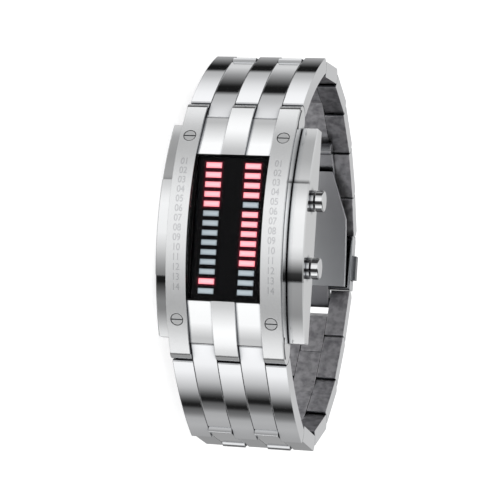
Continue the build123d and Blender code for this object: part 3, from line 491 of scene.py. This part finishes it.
def past_bar(bar_tree):
    """How far a point lies past its bar's edge, its place counted in rows, and how far off the middle."""
    spot = add(bar_tree, "ShaderNodeTexCoord")
    at = add(bar_tree, "ShaderNodeSeparateXYZ", [("Vector", spot.outputs["Object"])]).outputs
    row_place = add(bar_tree, "ShaderNodeMath", [(0, at["X"]), (1, BAR_PITCH)], operation="DIVIDE")
    counted = add(bar_tree, "ShaderNodeMath", [(0, row_place), (1, 1.0)], operation="ADD")
    share = add(bar_tree, "ShaderNodeMath", [(0, counted)], operation="FRACT")
    in_row = add(bar_tree, "ShaderNodeMath", [(0, share), (1, 0.5)], operation="SUBTRACT")
    off_row = add(bar_tree, "ShaderNodeMath", [(0, in_row)], operation="ABSOLUTE")
    ends = [(0, off_row), (1, BAR_PITCH), (2, -BAR_HALF_HEIGHT)]
    past_end = add(bar_tree, "ShaderNodeMath", ends, operation="MULTIPLY_ADD")
    off_middle = add(bar_tree, "ShaderNodeMath", [(0, at["Z"]), (1, HALF_WIDTH * MM)], operation="SUBTRACT")
    apart = add(bar_tree, "ShaderNodeMath", [(0, off_middle)], operation="ABSOLUTE")
    in_column = add(bar_tree, "ShaderNodeMath", [(0, apart), (1, BAR_ACROSS)], operation="SUBTRACT")
    off_column = add(bar_tree, "ShaderNodeMath", [(0, in_column)], operation="ABSOLUTE")
    past_side = add(bar_tree, "ShaderNodeMath", [(0, off_column), (1, BAR_HALF_WIDTH)], operation="SUBTRACT")
    past_edge = add(bar_tree, "ShaderNodeMath", [(0, past_end), (1, past_side)], operation="MAXIMUM")
    return past_edge, row_place, off_middle


# The lit bars glow from their lamps, and the unlit bars' fainter glow is painted
for node_name, material_name, power, tones in (
    ("leds_lit", "lit_red_diffuser", 0.8, [(0.0, "#FFB0B6"), (0.7, "#FCA0A8"), (1.0, "#EC7F8B")]),
    ("leds_unlit", "unlit_diffuser_painted_glow", 0.35, [(0.0, "#B4BFC5"), (0.7, "#A5B0B7"), (1.0, "#7E8990")]),
):
    diffuser = plain(material_name, "#B07F86", 0.45, shine=0.1, glow="#FFFFFF", power=power)
    tree = diffuser.node_tree
    rim = past_bar(tree)[0]
    inward = add(tree, "ShaderNodeMapRange", [("Value", rim)], From_Min=-BAR_HALF_HEIGHT, From_Max=0.0)
    shade = add(tree, "ShaderNodeValToRGB", [("Fac", inward)])
    set_stops(shade.color_ramp, tones)
    body = tree.nodes["Principled BSDF"]
    tree.links.new(shade.outputs["Color"], body.inputs["Base Color"])
    tree.links.new(shade.outputs["Color"], body.inputs["Emission Color"])
    dress(diffuser, [node_name])

mask = plain("gloss_black_mask", "#050507", 0.25, shine=0.05, glow="#000000", power=1.0)
tree = mask.node_tree
rim, row_place, off_middle = past_bar(tree)
near = add(tree, "ShaderNodeMapRange", [("Value", rim)], From_Min=HALO_REACH, From_Max=0.0)
from_end = add(tree, "ShaderNodeMath", [(0, row_place), (1, BAR_ROWS / 2)], operation="ADD")
row_share = add(tree, "ShaderNodeMath", [(0, from_end), (1, BAR_ROWS)], operation="DIVIDE")
lit_here = {}
for side_name, spans in LIT_ROWS.items():
    rows_lit = add(tree, "ShaderNodeValToRGB", [("Fac", row_share)])
    rows_lit.color_ramp.interpolation = "CONSTANT"
    set_stops(rows_lit.color_ramp, [(count / BAR_ROWS, state) for count, state in spans])
    lit_here[side_name] = rows_lit
to_right = add(tree, "ShaderNodeMath", [(0, off_middle), (1, 0.0)], operation="GREATER_THAN")
columns = [("Factor", to_right), ("A", lit_here["left"]), ("B", lit_here["right"])]
column_lit = add(tree, "ShaderNodeMix", columns, data_type="RGBA")
red_here = add(tree, "ShaderNodeMath", [(0, column_lit.outputs["Result"]), (1, near)], operation="MULTIPLY")
tones = [("Factor", red_here), ("A", linear("#000000")), ("B", linear("#520E1E"))]
halo = add(tree, "ShaderNodeMix", tones, data_type="RGBA")
tree.links.new(halo.outputs["Result"], tree.nodes["Principled BSDF"].inputs["Emission Color"])
dress(mask, ["display_mask"])

# The movement behind the display, which shows only when the case is opened: a printed board with its
# moulded chips, in a moulded holder, with a nickel plated cell and its contact clip. The mouldings are
# dull, the board a little glossier, and the plating mirrors softly.
dress(plain("printed_circuit_board", "#1E5A36", 0.4), ["circuit_board"])
dress(plain("moulded_chip_epoxy", "#1A1A1B", 0.5), ["board_chips"])
dress(plain("moulded_acetal_holder", "#D6D3C8", 0.45), ["movement_holder"])
dress(plain("nickel_plated_cell", "#C9CBCC", 0.22, metallic=1.0), ["coin_cell", "battery_clip"])

# The push-buttons and the clasp's buttons: the first are turned and polished, and a painted reflection of the
# room lays black bands along their length on them. The others are milled and duller, and their dark grey is
# painted shade. Their springs are wire.
BUTTON_PAINTED_REFLECTION = [
    (-1.0, 0.55), (-0.76, 0.8), (-0.66, 0.08), (-0.45, 0.05), (-0.37, 0.95), (0.08, 1.0), (0.15, 0.08),
    (0.36, 0.05), (0.44, 0.95), (0.76, 0.95), (0.88, 0.3), (1.0, 0.15),
]
# Painted reflection: the black bands round the turned buttons
turned = finish_steel("turned_steel_button_painted_reflection", "#F0F1F2", 0.08, 0.12, reach=1.0, painted_streaks=BUTTON_PAINTED_REFLECTION)
dress(turned, ["pusher_upper", "pusher_lower", "pusher_tubes"])
# Painted shade: the clasp buttons' dark grey tone
milled = finish_steel("milled_steel_button_painted_shade", "#6C6D70", 0.2, 0.12, reach=1.5)
dress(milled, ["clasp_button_left", "clasp_button_right"])
dress(finish_steel("spring_steel_wire", "#9A9C9F", 0.3, 0.05), [n for n in node_names if "_spring_" in n])

# The clasp: a milled and polished cover like the bars, and a blade and an arm stamped from sheet and
# lightly brushed lengthwise, which makes them softer than the links beside them.
STAMPED_GRAIN = (1500.0, 1500.0, 9000.0)
stamped = finish_steel("stamped_brushed_steel", "#DCDDDF", 0.24, 0.1, STAMPED_GRAIN, 0.3, 0.15, reach=5.0)
dress(stamped, ["clasp_arm", "clasp_blade", "catch_post"])
dress(finish_steel("polished_steel_cover", "#D8DADC", 0.12, 0.15), ["clasp_cover"])
clasp_pin_steel = finish_steel("ground_steel_clasp_pin", "#B0B2B5", 0.25, 0.05)
dress(clasp_pin_steel, ["clasp_cover_pin", "clasp_knuckle_pin", "spring_bar"])
